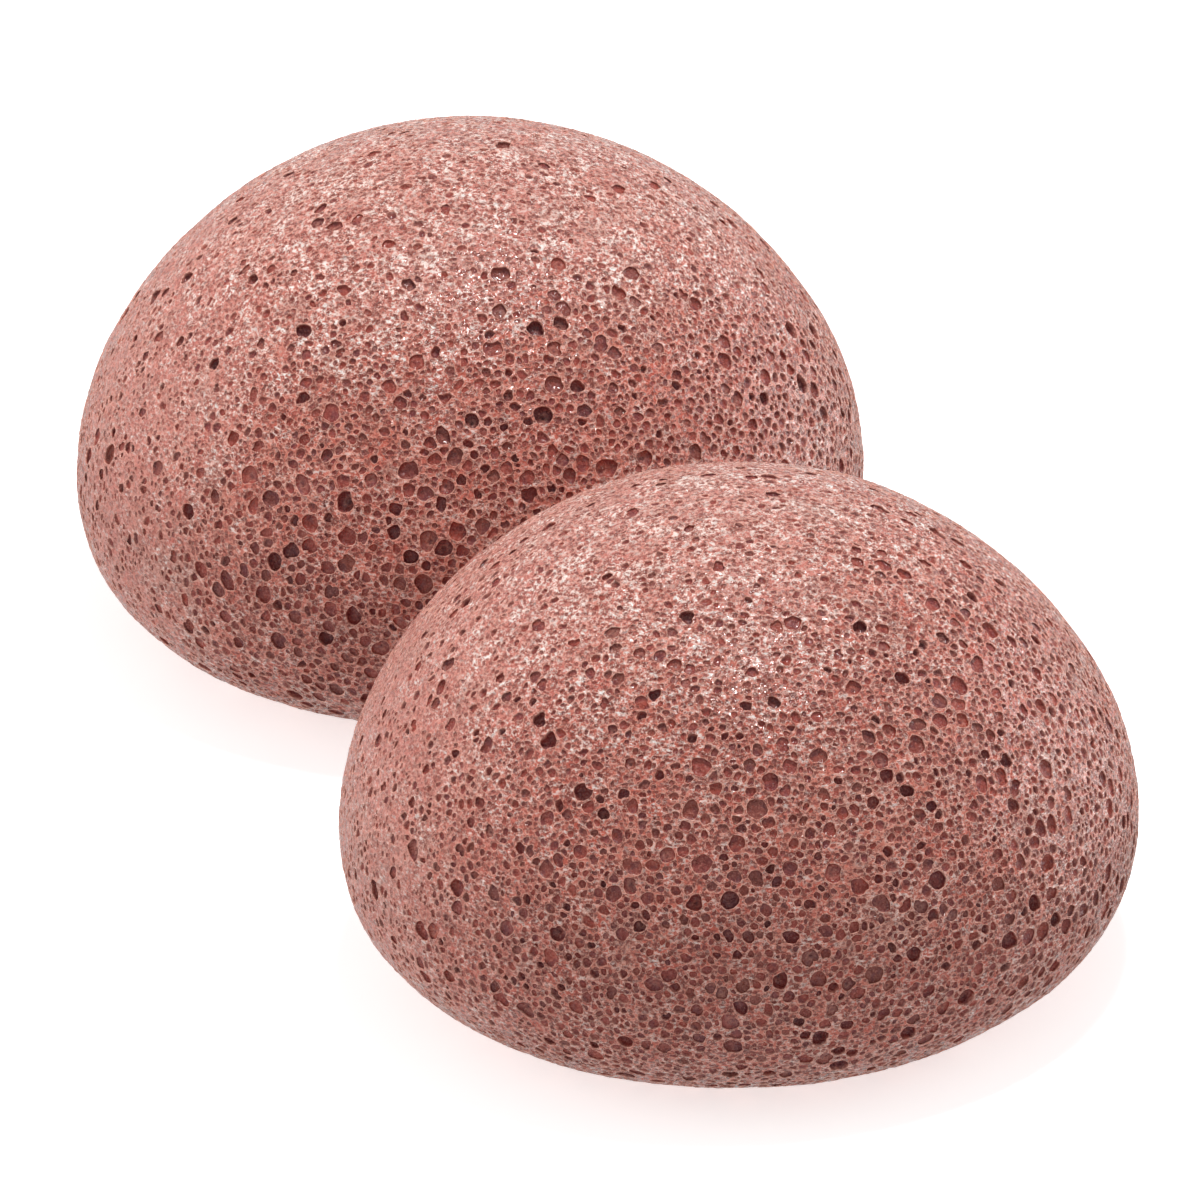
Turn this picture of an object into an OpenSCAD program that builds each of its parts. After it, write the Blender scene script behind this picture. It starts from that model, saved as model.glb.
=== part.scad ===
// Pair of half-ball konjac sponges.
// Each sponge is one moulded cake of open-celled foam: a flat base, a rounded bottom
// edge that swells to the widest ring, a steeper shoulder and a low round crown.
// The two stand side by side on the same surface, the rear one behind and to the left.
// Millimetres, +Z up, origin in the middle of the pair on the surface that it stands on.

/* [Sponge] */
// Diameter at the widest ring
sponge_d = 80; // [70:1:100]
// How much lower the crown is than that of a full half ball
crown_drop = 4.6; // [1:0.2:9]
// Radius of the rounded bottom edge, which is also the height of the widest ring
bottom_edge_r = 14; // [6:0.5:20]
// Radius of the shoulder, where the side turns over into the crown
shoulder_r = 28; // [22:0.5:30]

/* [Pair] */
// Clear gap between the two sponges where they come closest
pair_gap = 0.5; // [0.3:0.1:20]
// Direction of the rear sponge in degrees, turned to the left from straight behind
pair_turn = 19; // [0:1:60]

/* [Pores] */
// Number of large open pores on each dome
pore_count = 64; // [16:1:90]
// Diameter of the smallest of the large pores
small_pore_d = 1.5; // [1:0.1:2]
// Diameter of the largest pore
large_pore_d = 3.2; // [2.4:0.1:3.6]
// How deep a pore's centre lies under the skin, as a share of its radius
pore_sink_share = 0.3; // [0.1:0.05:0.6]
// Lowest place of a pore round the bottom edge, in degrees below level
pore_lowest_tilt = 50; // [30:5:60]
// Least land between a pore and a ring where two arcs of the outline meet
pore_land = 0.4; // [0.2:0.1:1]

/* [Hidden] */

// Colour of damp red-clay konjac foam
foam_colour = [0.78, 0.57, 0.52];

// Facets of the dome's round outlines and of a pore
dome_fn = 96;
pore_fn = 24;

// The outline of the dome is three arcs that run into each other: the bottom edge, the
// shoulder and the crown. The crown's centre is on the axis, and its radius follows
// from meeting the shoulder without a corner.
sponge_r = sponge_d / 2;
base_r = sponge_r - bottom_edge_r;
// Height of the crown above the widest ring
crown_rise = sponge_r - crown_drop;
shoulder_x = sponge_r - shoulder_r;
crown_r = (pow(shoulder_x, 2) + pow(crown_rise, 2) - pow(shoulder_r, 2))
    / (2 * (crown_rise - shoulder_r));
crown_z = bottom_edge_r + crown_rise - crown_r;
// Angle above level at which the shoulder ends and the crown begins
crown_tilt = atan2(bottom_edge_r - crown_z, shoulder_x);

// Places of the two sponges, with the origin halfway between them
pair_pitch = sponge_d + pair_gap;
rear_place = [-sin(pair_turn), cos(pair_turn), 0] * pair_pitch / 2;
front_place = -rear_place;

// Room that the middle of the largest pore needs beside a ring, the seam or the axis
pore_room = large_pore_d / 2 + pore_land;
// Angle at the crown's top that stays free of pores
crown_clear = asin(pore_room / crown_r);

// The three arcs of the half section, each with its radius, the place of its centre and
// the angles above level between which it has pores
arcs = [
    [bottom_edge_r, base_r, bottom_edge_r, -pore_lowest_tilt, 0],
    [shoulder_r, shoulder_x, bottom_edge_r, 0, crown_tilt],
    [crown_r, 0, crown_z, crown_tilt, 90 - crown_clear],
];

// The pores follow a sunflower's rule, a golden angle from one to the next, and a
// repeatable scatter moves each one a little and gives it its size.
golden_angle = 180 * (3 - sqrt(5));
scatter_turns = 78.233;
scatter_swing = 373.19;
turn_scatter = 24;
rise_scatter_share = 0.6;
// Each sponge draws its scatter from a number of its own
front_scatter = 1;
rear_scatter = 7;

// Repeatable number from 0 to 1 for pore k in draw s
function scatter(k, s) =
    let (v = sin(k * scatter_turns + s * scatter_swing) * scatter_swing) v - floor(v);

// Lowest and highest tilt of a pore's middle on an arc, so that its mouth stays on it
function pore_band(arc) =
    let (inset = asin(pore_room / arc[0])) [arc[3] + inset, arc[4] - inset];

// Area of the skin between the tilts of an arc's band, but for a factor that all share
function band_area(arc) =
    let (band = pore_band(arc))
    arc[0] * (arc[1] * (band[1] - band[0]) * PI / 180 + arc[0] * (sin(band[1]) - sin(band[0])));

areas = [for (arc = arcs) band_area(arc)];
total_area = areas[0] + areas[1] + areas[2];

// Arc that holds the place at a share of the area from the lowest pore to the crown
function arc_of(share) = share < areas[0] / total_area ? 0
    : share < (areas[0] + areas[1]) / total_area ? 1 : 2;

// Area below the arc with number i
function area_below(i) = i == 0 ? 0 : area_below(i - 1) + areas[i - 1];

// Pore k's place up the skin, as a share of the area
function pore_rise(k, s) =
    (k + 0.5 + rise_scatter_share * (scatter(k, s) - 0.5)) / pore_count;

// Tilt of the skin's outward direction above level at a share of the area
function tilt_at(share) =
    let (i = arc_of(share),
         low = sin(pore_band(arcs[i])[0]),
         high = sin(pore_band(arcs[i])[1]))
    asin(low + (high - low) * (share * total_area - area_below(i)) / areas[i]);

// Turn of pore k round the axis, on a ring of the dome with radius ring_r. The turns are
// drawn together a little, so that no pore crosses the seam of the dome at no turn.
function pore_turn(k, s, ring_r) =
    let (turn = k * golden_angle + turn_scatter * scatter(k, s + 1),
         clear = asin(pore_room / ring_r))
    clear + (turn / 360 - floor(turn / 360)) * (360 - 2 * clear);

// Diameter of pore k, with more small ones than large ones
function pore_d(k, s) = small_pore_d + (large_pore_d - small_pore_d) * pow(scatter(k, s + 2), 2);

// Half section below the widest ring: the flat base and the bottom edge's quarter round
module lower_section() {
    square([base_r, bottom_edge_r]);
    intersection() {
        translate([base_r, bottom_edge_r]) circle(r = bottom_edge_r, $fn = dome_fn);
        translate([base_r, 0]) square([bottom_edge_r, bottom_edge_r]);
    }
}

// Half section above the widest ring: the crown's round inside the line through both
// centres, and the shoulder's round outside it
module upper_section() {
    seam = [shoulder_x + sponge_d * cos(crown_tilt), bottom_edge_r + sponge_d * sin(crown_tilt)];
    intersection() {
        translate([0, crown_z]) circle(r = crown_r, $fn = dome_fn);
        polygon([[0, bottom_edge_r], [shoulder_x, bottom_edge_r], seam, [0, seam[1]]]);
    }
    intersection() {
        translate([shoulder_x, bottom_edge_r]) circle(r = shoulder_r, $fn = dome_fn);
        polygon([[shoulder_x, bottom_edge_r], [seam[0], bottom_edge_r], seam]);
    }
}

// The whole cake of foam without pores
module dome() {
    rotate_extrude($fn = dome_fn) {
        union() {
            lower_section();
            upper_section();
        }
    }
}

// The large open pores, one ball each, for the sponge with scatter number s. A ball's
// own axis stands square to the skin and its seam faces down the slope.
module pores(s) {
    for (k = [0 : pore_count - 1]) {
        d = pore_d(k, s);
        share = pore_rise(k, s);
        arc = arcs[arc_of(share)];
        tilt = tilt_at(share);
        ring_r = arc[1] + arc[0] * cos(tilt);
        rotate([0, 0, pore_turn(k, s, ring_r)])
            translate([arc[1], 0, arc[2]])
            rotate([0, 90 - tilt, 0])
            translate([0, 0, arc[0] - pore_sink_share * d / 2])
            sphere(d = d, $fn = pore_fn);
    }
}

// One sponge with its base in the middle of its own place
module sponge(s) {
    difference() {
        dome();
        pores(s);
    }
}

module front_sponge() {
    color(foam_colour) translate(front_place) sponge(front_scatter);
}

module rear_sponge() {
    color(foam_colour) translate(rear_place) sponge(rear_scatter);
}

front_sponge();
rear_sponge();
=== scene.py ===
"""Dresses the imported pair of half-ball konjac sponges: damp red clay foam with open pores.

Layout is done in millimetres, on a flat sheet that a Geometry Nodes tree then wraps round
the cake's outline. Meshes are in metres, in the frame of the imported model.
"""

import logging
import math
from dataclasses import dataclass, replace
from enum import Enum
from typing import NamedTuple

import bpy
import numpy as np
from mathutils import Matrix, Vector, kdtree
from mathutils.geometry import delaunay_2d_cdt

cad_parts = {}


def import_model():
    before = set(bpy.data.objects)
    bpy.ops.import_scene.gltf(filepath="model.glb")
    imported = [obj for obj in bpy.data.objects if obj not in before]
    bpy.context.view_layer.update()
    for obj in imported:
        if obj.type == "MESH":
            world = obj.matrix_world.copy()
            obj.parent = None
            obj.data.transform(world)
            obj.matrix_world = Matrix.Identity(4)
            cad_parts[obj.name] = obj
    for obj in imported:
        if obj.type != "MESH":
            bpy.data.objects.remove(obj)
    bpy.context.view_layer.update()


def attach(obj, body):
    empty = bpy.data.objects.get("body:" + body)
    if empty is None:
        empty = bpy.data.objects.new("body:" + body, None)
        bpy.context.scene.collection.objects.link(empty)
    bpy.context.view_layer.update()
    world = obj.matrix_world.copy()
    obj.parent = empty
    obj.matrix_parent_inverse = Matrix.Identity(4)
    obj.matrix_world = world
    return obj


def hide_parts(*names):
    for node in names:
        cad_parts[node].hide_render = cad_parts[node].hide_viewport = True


LOG = logging.getLogger("sponges")
UV_NAME = "OFBake"
MM = 0.001
FULL_TURN = 2 * math.pi
# What each point of the flat mesh carries: sink in millimetres, the rest from 0 to 1
CARRIED = ("sink", "open", "rim", "dark", "tone")

Array = np.ndarray
Amount = Array | float
Triple = tuple[float, float, float]


def linear(colour: Triple) -> tuple[float, float, float, float]:
    """Turns a display colour into the linear one that shaders take.

    Args:
        colour: Display red, green and blue, 0 to 255.

    Returns:
        The linear colour with full alpha.
    """
    shares = [v / 255 for v in colour]
    made = [v / 12.92 if v <= 0.04045 else ((v + 0.055) / 1.055) ** 2.4 for v in shares]
    return made[0], made[1], made[2], 1.0


def polar(turn: Array, far: Amount) -> Array:
    """Flat points, one row each, from turns in radians and distances from the middle."""
    return np.stack([far * np.cos(turn), far * np.sin(turn)], axis=1)


def bearing(flat: Array) -> Array:
    """Directions in radians of flat points from the middle."""
    return np.arctan2(flat[..., 1], flat[..., 0])


def leftward(a: Array, b: Array, c: Array) -> Array:
    """Above zero where the way from flat points a over b to c turns to the left."""
    p, q = b - a, c - a
    return p[..., 0] * q[..., 1] - p[..., 1] * q[..., 0]


def add_object(name: str, data: bpy.types.ID) -> bpy.types.Object:
    """Puts a new object into the scene.

    Args:
        name: Its name.
        data: Its mesh, light or camera.

    Returns:
        The object.
    """
    made = bpy.data.objects.new(name, data)
    bpy.context.scene.collection.objects.link(made)
    return made


class Sponge(Enum):
    """The two sponges, each with its node, body, place in millimetres and scatter number."""

    FRONT = ("front_sponge", "front", (13.1045, -38.0586), 1)
    REAR = ("rear_sponge", "rear", (-13.1045, 38.0586), 7)

    def __init__(self, node: str, body: str, place: tuple[float, float], scatter: int) -> None:
        """Keeps what the sponge's row says."""
        self.node, self.body, self.place, self.scatter = node, body, place, scatter


class Zone(Enum):
    """The two parts of a cake's skin, each laid out flat on its own.

    Each has the number that its draws start from, its shares of pores and of bare land, and
    the middle and radius of its round on the texture map.
    """

    DOME = (0, 1.0, 1.0, 0.435, 0.43)
    BASE = (1, 0.6, 0.3, 0.855, 0.14)

    def __init__(self, seed: int, pores: float, land: float, middle: float, size: float) -> None:
        """Keeps what the zone's row says."""
        self.seed, self.pore_share, self.land_share = seed, pores, land
        self.chart_middle, self.chart_size = middle, size


@dataclass(frozen=True)
class PoreSizes:
    """How pores of one kind are strewn and shaped, in millimetres."""

    corners: int
    smallest: float
    largest: float
    # Darts thrown for each square millimetre, and the share kept where the foam is fine
    tries: float
    fine_share: float
    # Share of the smaller radius by which two may overlap
    overlap: float
    # How far a mouth spreads past its radius, and the share that open into a deeper pore below, whose
    # lining is painted darker as painted shade
    growth: float
    deep_share: float


class PoreKind(Enum):
    """The kinds of pore, from the largest down."""

    LARGE = PoreSizes(16, 0.58, 1.1, 0.19, 0.12, 0.35, 0.22, 0.22)
    MEDIUM = PoreSizes(10, 0.38, 0.62, 1.1, 0.18, 0.35, 0.2, 0.14)
    SMALL = PoreSizes(8, 0.22, 0.38, 2.2, 0.33, 0.35, 0.15, 0.05)
    TINY = PoreSizes(6, 0.13, 0.21, 1.3, 0.6, 0.15, 0.1, 0.04)


KINDS = list(PoreKind)
# The kind number of a point of bare land
LAND = len(KINDS)


class Arc(NamedTuple):
    """One arc of the outline, with the ring and height that its centre is on."""

    radius: float
    ring: float
    height: float


@dataclass(frozen=True)
class CakeOutline:
    """Half section of a cake in millimetres: bottom edge, shoulder and crown arcs."""

    widest_r: float = 40.0
    edge_r: float = 14.0
    shoulder_r: float = 28.0
    crown_drop: float = 4.6

    @property
    def base_r(self) -> float:
        """Radius of the flat base."""
        return self.widest_r - self.edge_r

    def arcs(self) -> tuple[Arc, Arc, Arc]:
        """Gives the three arcs from the bottom up.

        Returns:
            The edge, shoulder and crown arcs.
        """
        rise = self.widest_r - self.crown_drop
        ring = self.widest_r - self.shoulder_r
        crown = (ring**2 + rise**2 - self.shoulder_r**2) / (2 * (rise - self.shoulder_r))
        return (
            Arc(self.edge_r, self.base_r, self.edge_r),
            Arc(self.shoulder_r, ring, self.edge_r),
            Arc(crown, 0.0, self.edge_r + rise - crown),
        )

    def crown_tilt(self) -> float:
        """Angle above level, in degrees, at which the shoulder becomes the crown."""
        _, shoulder, crown = self.arcs()
        return math.degrees(math.atan2(shoulder.height - crown.height, shoulder.ring))


class Sheet:
    """The dome's skin laid out flat about its top, so that a round pore stays round."""

    STEPS = 6000
    # Ring within which the sheet counts as not enlarged, and the least ring to divide by
    TRUE_RING, LEAST_RING = 0.5, 0.1

    def __init__(self, outline: CakeOutline) -> None:
        """Walks down the outline from the top and keeps a table of it.

        Args:
            outline: The cake's half section.
        """
        self.outline = outline
        self.tilt = np.linspace(90, -90, self.STEPS)
        is_crown = self.tilt >= outline.crown_tilt()
        which = np.where(self.tilt < 0, 0, np.where(is_crown, 2, 1))
        radius, ring, height = np.array(outline.arcs())[which].T
        self.ring = ring + radius * np.cos(np.radians(self.tilt))
        self.height = height + radius * np.sin(np.radians(self.tilt))
        step = np.hypot(np.diff(self.ring), np.diff(self.height))
        middle = (self.ring[1:] + self.ring[:-1]) / 2
        growth = np.concatenate([[0.0, 0.0], np.cumsum(step[1:] / middle[1:])])
        self.spread = step[0] * np.exp(growth)
        self.spread[0] = 0.0
        self.area = np.concatenate([[0.0], np.cumsum(FULL_TURN * middle * step)])

    def read(self, column: Array, far: Array) -> Array:
        """What a column of the table says at distances from the sheet's middle."""
        return np.interp(far, self.spread, column)

    def stretch(self, flat: Array) -> Array:
        """How much larger the sheet is than the skin.

        Args:
            flat: Points of the sheet.

        Returns:
            The enlargement at each point.
        """
        far = np.hypot(*flat.T)
        ring = self.read(self.ring, far)
        return np.where(ring > self.TRUE_RING, far / np.maximum(ring, self.LEAST_RING), 1.0)

    def solid(self, flat: Array) -> Array:
        """Places of points of the sheet on the dome."""
        ring, height = (self.read(column, np.hypot(*flat.T)) for column in (self.ring, self.height))
        return np.column_stack([polar(bearing(flat), ring), height])


@dataclass(frozen=True)
class LargePores:
    """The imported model's own rule for its large pores, repeated so that they coincide."""

    count: int = 64
    smallest_d: float = 1.5
    largest_d: float = 3.2
    sink_share: float = 0.3
    lowest_tilt: float = 50.0
    land: float = 0.4
    turn_scatter: float = 24.0
    rise_scatter: float = 0.6
    scatter_turns: float = 78.233
    scatter_swing: float = 373.19

    def draw(self, k: Array, number: int) -> Array:
        """Repeatable numbers from 0 to 1 for pores k in a numbered draw."""
        turns = np.radians(k * self.scatter_turns + number * self.scatter_swing)
        return np.sin(turns) * self.scatter_swing % 1

    def places(self, outline: CakeOutline, number: int) -> tuple[Array, Array, Array]:
        """Finds the pores of one sponge.

        Args:
            outline: The cake's half section.
            number: The sponge's scatter number.

        Returns:
            Tilt in degrees, turn in radians and mouth radius of each pore.
        """
        k = np.arange(self.count, dtype=float)
        room = self.largest_d / 2 + self.land
        radius, ring, _ = np.array(outline.arcs()).T
        inset = np.arcsin(room / radius)
        tilts = np.radians([-self.lowest_tilt, 0.0, outline.crown_tilt(), 90.0])
        first, last = tilts[:-1] + inset, tilts[1:] - inset
        last[-1] -= inset[-1]
        low, high = np.sin(first), np.sin(last)
        areas = radius * (ring * (last - first) + radius * (high - low))
        below = np.cumsum(areas) - areas
        rise = k + 0.5 + self.rise_scatter * (self.draw(k, number) - 0.5)
        share = rise / self.count * areas.sum()
        which = np.searchsorted(below, share, side="right") - 1
        part = (share - below[which]) / areas[which]
        tilt = np.arcsin(low[which] + (high - low)[which] * part)
        golden = 180 * (3 - math.sqrt(5))
        turns = (k * golden + self.turn_scatter * self.draw(k, number + 1)) / 360
        gap = np.arcsin(room / (ring[which] + radius[which] * np.cos(tilt)))
        size = self.smallest_d + (self.largest_d - self.smallest_d) * self.draw(k, number + 2) ** 2
        mouth = size / 2 * math.sqrt(1 - self.sink_share**2)
        return np.degrees(tilt), gap + turns % 1 * (FULL_TURN - 2 * gap), mouth


class Seats(NamedTuple):
    """Where pores stand on a flat sheet, in millimetres of the sheet and of the skin."""

    flat: Array
    solid: Array
    radius: Array
    stretch: Array
    kind: Array

    def joined(self, other: "Seats") -> "Seats":
        """These seats with others behind them."""
        return Seats(*map(np.concatenate, zip(self, other)))

    def pick(self, chosen: Array) -> "Seats":
        """The seats that a mask chooses."""
        return Seats(*(column[chosen] for column in self))

    def tree(self) -> kdtree.KDTree:
        """Makes a search tree over the places on the skin.

        Returns:
            The tree, which numbers the seats as they stand here.
        """
        made = kdtree.KDTree(len(self.solid))
        for i, place in enumerate(self.solid):
            made.insert(place, i)
        made.balance()
        return made


class PoreField:
    """Strews the pores of one zone of one sponge and draws the outline of each mouth."""

    EDGE_CORNERS = 480
    # Land between two mouths, at the zone's edge, and from a mouth to a point of bare land
    WALL, EDGE_LAND, BRIM_LAND = 0.05, 0.12, 0.05
    # How squarely a mouth fills its place, and the least cosine at which a wall holds it
    ROUNDING, GRAZING = 9.0, 0.05
    # Radius from which a second bubble may have run into a pore, and how far mouths of
    # such pores and of others may reach, as shares of the grown radius
    LOBED_FROM, LOBED_REACH, ROUND_REACH = 0.3, 1.75, 1.4
    # Room that a pore needs to the zone's edge, by its radius and besides
    EDGE_SHARE, EDGE_ROOM = 1.3, 0.15
    # Shares of a pore's radius: the least room and reach that it stays with, and the least
    # room that its mouth is drawn with
    STAY_ROOM, STAY_REACH, DRAWN_ROOM = 0.12, 0.25, 0.05
    # Points of bare land thrown for each square millimetre, and how far past a mouth's
    # furthest reach such a point is still tested
    LAND_TRIES, LAND_SEARCH = 7.0, 0.1
    BASE_OPENNESS = 0.75
    # Direction, seen from above, in which a dome's foam grows more open
    OPEN_WAY = np.array([0.62, -0.78])

    def __init__(self, zone: Zone, sheet: Sheet, scatter: int) -> None:
        """Sets up an empty field.

        Args:
            zone: The part of the skin.
            sheet: The dome's flat layout.
            scatter: The sponge's scatter number.
        """
        self.zone = zone
        self.sheet = sheet
        self.scatter = scatter
        self.on_dome = zone is Zone.DOME
        self.rim = float(sheet.spread[-1]) if self.on_dome else sheet.outline.base_r
        self.area = float(sheet.area[-1]) if self.on_dome else math.pi * self.rim**2
        self.rng = np.random.default_rng(scatter * 100 + zone.seed)
        self.waves = self.rng.uniform(0, FULL_TURN, (6, 3))
        self.seats = self.land = self.seats_at(np.zeros((0, 2)), np.zeros(0), LAND)
        self.outlines: list[Array] = []

    def solid(self, flat: Array) -> Array:
        """Places of flat points on the skin."""
        return self.sheet.solid(flat) if self.on_dome else np.pad(flat, ((0, 0), (0, 1)))

    def clusters(self, solid: Array) -> Array:
        """How much pores crowd in clusters some millimetres across, about -1 to 1."""
        turns, ways = self.waves[:, 0], np.cos(self.waves[:, [1, 1, 2]] - [0, math.pi / 2, 0])
        return np.sin(solid @ (ways.T * (1.4 + 0.35 * np.arange(6))) + turns).sum(axis=1) / 2.5

    def calm(self, solid: Array) -> Array:
        """How smooth the skin is, from 0 to 1 on the left side, where the mould pressed it."""
        leftness = -solid[:, 0] / self.sheet.outline.widest_r - 0.42
        return self.on_dome * np.clip((leftness + 0.06 * self.clusters(solid)) / 0.45, 0.0, 1.0)

    def openness(self, solid: Array) -> Array:
        """How coarse and open the foam is, from 0, fine, to 1, open.

        Args:
            solid: Places on the skin.

        Returns:
            One number for each place.
        """
        if not self.on_dome:
            return np.full(len(solid), self.BASE_OPENNESS)
        ring = np.hypot(solid[:, 0], solid[:, 1])
        lean = solid[:, :2] @ self.OPEN_WAY / np.maximum(ring, 1e-6) * np.minimum(ring / 25, 1.0)
        wave = np.zeros(len(solid))
        for i, turn in enumerate(self.waves[:, 0]):
            way = np.roll([1.0, 0.6, -0.4], i) / (3.5 + 1.5 * i)
            wave += np.sin(solid @ way + turn)
        height = solid[:, 2] / self.sheet.height[0]
        made = np.clip(2.1 - 2.2 * height + 0.35 * lean + 0.07 * wave, 0.0, 1.0)
        return made * (1 - 0.75 * self.calm(solid))

    def darts(self, count: int) -> Array:
        """Throws points evenly over the skin.

        Args:
            count: How many.

        Returns:
            Flat points.
        """
        share = self.rng.random(count)
        turn = self.rng.uniform(-math.pi, math.pi, count)
        if self.on_dome:
            return polar(turn, np.interp(share * self.area, self.sheet.area, self.sheet.spread))
        return polar(turn, self.rim * np.sqrt(share))

    def seats_at(self, flat: Array, radius: Array, kind: int) -> Seats:
        """Seats of one kind at flat points."""
        stretch = self.sheet.stretch(flat) if self.on_dome else np.ones(len(flat))
        return Seats(flat, self.solid(flat), radius, stretch, np.full(len(flat), kind))

    def settle(self, darts: Seats, overlap: float) -> None:
        """Seats the darts that keep off the zone's edge and crowd no seat or each other.

        Args:
            darts: The seats to try, first come first served.
            overlap: Share of the smaller radius by which two may overlap.
        """
        from_edge = (self.rim - np.hypot(*darts.flat.T)) / darts.stretch
        there = len(self.seats.radius)
        room = darts.radius * self.EDGE_SHARE + self.EDGE_ROOM
        seats = self.seats.joined(darts.pick(from_edge > room))
        tree, radius = seats.tree(), seats.radius.tolist()
        widest = max(radius)
        kept = [True] * there
        for own, place in zip(radius[there:], seats.solid[there:]):
            crowded = any(
                j < len(kept) and kept[j] and away < own + radius[j] - overlap * min(own, radius[j])
                for _, j, away in tree.find_range(place, own + widest)
            )
            kept.append(not crowded)
        self.seats = seats.pick(np.array(kept))

    def seat_large(self) -> None:
        """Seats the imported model's own large pores first."""
        tilt, turn, mouth = LargePores().places(self.sheet.outline, self.scatter)
        flat = polar(turn, np.interp(-tilt, -self.sheet.tilt, self.sheet.spread))
        radius = mouth * (0.66 + 0.12 * self.openness(self.solid(flat)))
        self.seats = self.seats_at(flat, radius, KINDS.index(PoreKind.LARGE))

    def strew(self) -> None:
        """Throws the pores of every kind, the largest first, and then points of bare land."""
        for number, kind in enumerate(KINDS):
            sizes = kind.value
            count = int(sizes.tries * self.area * self.zone.pore_share)
            flat = self.darts(count)
            solid = self.solid(flat)
            opened = self.openness(solid)
            radius = sizes.smallest + (sizes.largest - sizes.smallest) * self.rng.random(count) ** 1.6
            radius *= 0.8 + 0.2 * opened
            share = sizes.fine_share + (1 - sizes.fine_share) * opened**1.4
            wanted = self.rng.random(count) < share
            wanted &= self.rng.random(count) < 0.65 + 0.7 * self.clusters(solid)
            self.settle(self.seats_at(flat, radius, number).pick(wanted), sizes.overlap)
        flat = self.darts(int(self.LAND_TRIES * self.area * self.zone.land_share))
        radius = 0.14 + 0.07 * self.openness(self.solid(flat))
        self.settle(self.seats_at(flat, radius, LAND), 0.0)

    def draw_mouths(self) -> None:
        """Draws each pore's mouth, rounded, clear of its neighbours by a thin wall."""
        land = self.seats.pick(self.seats.kind == LAND)
        pores = self.seats.pick(self.seats.kind != LAND)
        tree = pores.tree()
        growth = np.array([kind.value.growth for kind in KINDS])[pores.kind]
        reaches = np.where(pores.radius > self.LOBED_FROM, self.LOBED_REACH, self.ROUND_REACH)
        furthest = (pores.radius + growth) * reaches
        widest = float(furthest.max())
        good = np.ones(len(growth), dtype=bool)
        mouths = []
        for i in range(len(growth)):
            angle, reach = self.star(pores.radius[i], KINDS[pores.kind[i]].value.corners)
            reach *= pores.radius[i] * pores.stretch[i] + growth[i] * pores.stretch[i]
            near = [
                j
                for _, j, away in tree.find_range(pores.solid[i], furthest[i] + widest)
                if j != i and away < furthest[i] + furthest[j]
            ]
            reach, good[i] = self.fitted(pores, i, near, angle, reach)
            mouths.append((angle, reach))
        dry = np.ones(len(land.radius), dtype=bool)
        for i, place in enumerate(land.solid):
            for _, j, away in tree.find_range(place, widest + self.LAND_SEARCH):
                if not good[j] or away > furthest[j] + self.LAND_SEARCH:
                    continue
                gap = land.flat[i] - pores.flat[j]
                if self.drowned(gap, *mouths[j], self.BRIM_LAND * pores.stretch[j]):
                    dry[i] = False
                    break
        self.land = land.pick(dry)
        self.outlines = [pores.flat[i] + polar(*mouths[i]) for i in np.flatnonzero(good)]
        self.seats = pores.pick(good)

    @staticmethod
    def drowned(gap: Array, angle: Array, reach: Array, room: float) -> bool:
        """Tells whether a point of land is inside a mouth or closer to its brim than room."""
        k = int((math.atan2(gap[1], gap[0]) - angle[0]) / FULL_TURN % 1 * len(reach)) % len(reach)
        return math.hypot(*gap) < max(reach[k], reach[(k + 1) % len(reach)]) + room

    def star(self, own: float, corners: int) -> tuple[Array, Array]:
        """Draws a free mouth: an uneven round, at times with a second bubble run into it.

        Args:
            own: The pore's radius.
            corners: How many corners the mouth has.

        Returns:
            The corners' directions and their reach as shares of the mouth's radius.
        """
        turns = self.rng.uniform(0, FULL_TURN, 4)
        shares = self.rng.random(4)
        angle = turns[0] + np.arange(corners) * FULL_TURN / corners
        reach = 1 + 0.4 * shares[0] * np.cos(2 * (angle - turns[1]))
        reach += 0.2 * shares[1] * np.cos(3 * (angle - turns[2]))
        reach += 0.11 * np.sin(angle * 5 + turns[1])
        if own > self.LOBED_FROM and shares[2] < 0.5:
            reach = np.maximum(reach, self.lobe(angle - turns[3], 0.45 + 0.35 * shares[3]))
        return angle, reach

    @staticmethod
    def lobe(angle: Array, size: float, away: float = 0.95) -> Array:
        """Reach of a smaller bubble that has run into a pore.

        Args:
            angle: Directions from the pore's middle, with 0 towards the bubble.
            size: The bubble's radius as a share of the pore's.
            away: How far the bubble's middle is off, in shares of the pore's radius.

        Returns:
            How far the bubble reaches in each direction, or 0 beside it.
        """
        inside = size**2 - (away * np.sin(angle)) ** 2
        reach = away * np.cos(angle) + np.sqrt(np.maximum(inside, 0))
        return np.where((inside > 0) & (np.cos(angle) > 0), reach, 0.0)

    def held(self, room: Amount, facing: Array) -> Array:
        """What a wall at a distance adds to a mouth's blend, by how its corners face it."""
        limits = room / np.maximum(facing, self.GRAZING)
        return np.where(facing > self.GRAZING, limits**-self.ROUNDING, 0.0)

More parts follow.
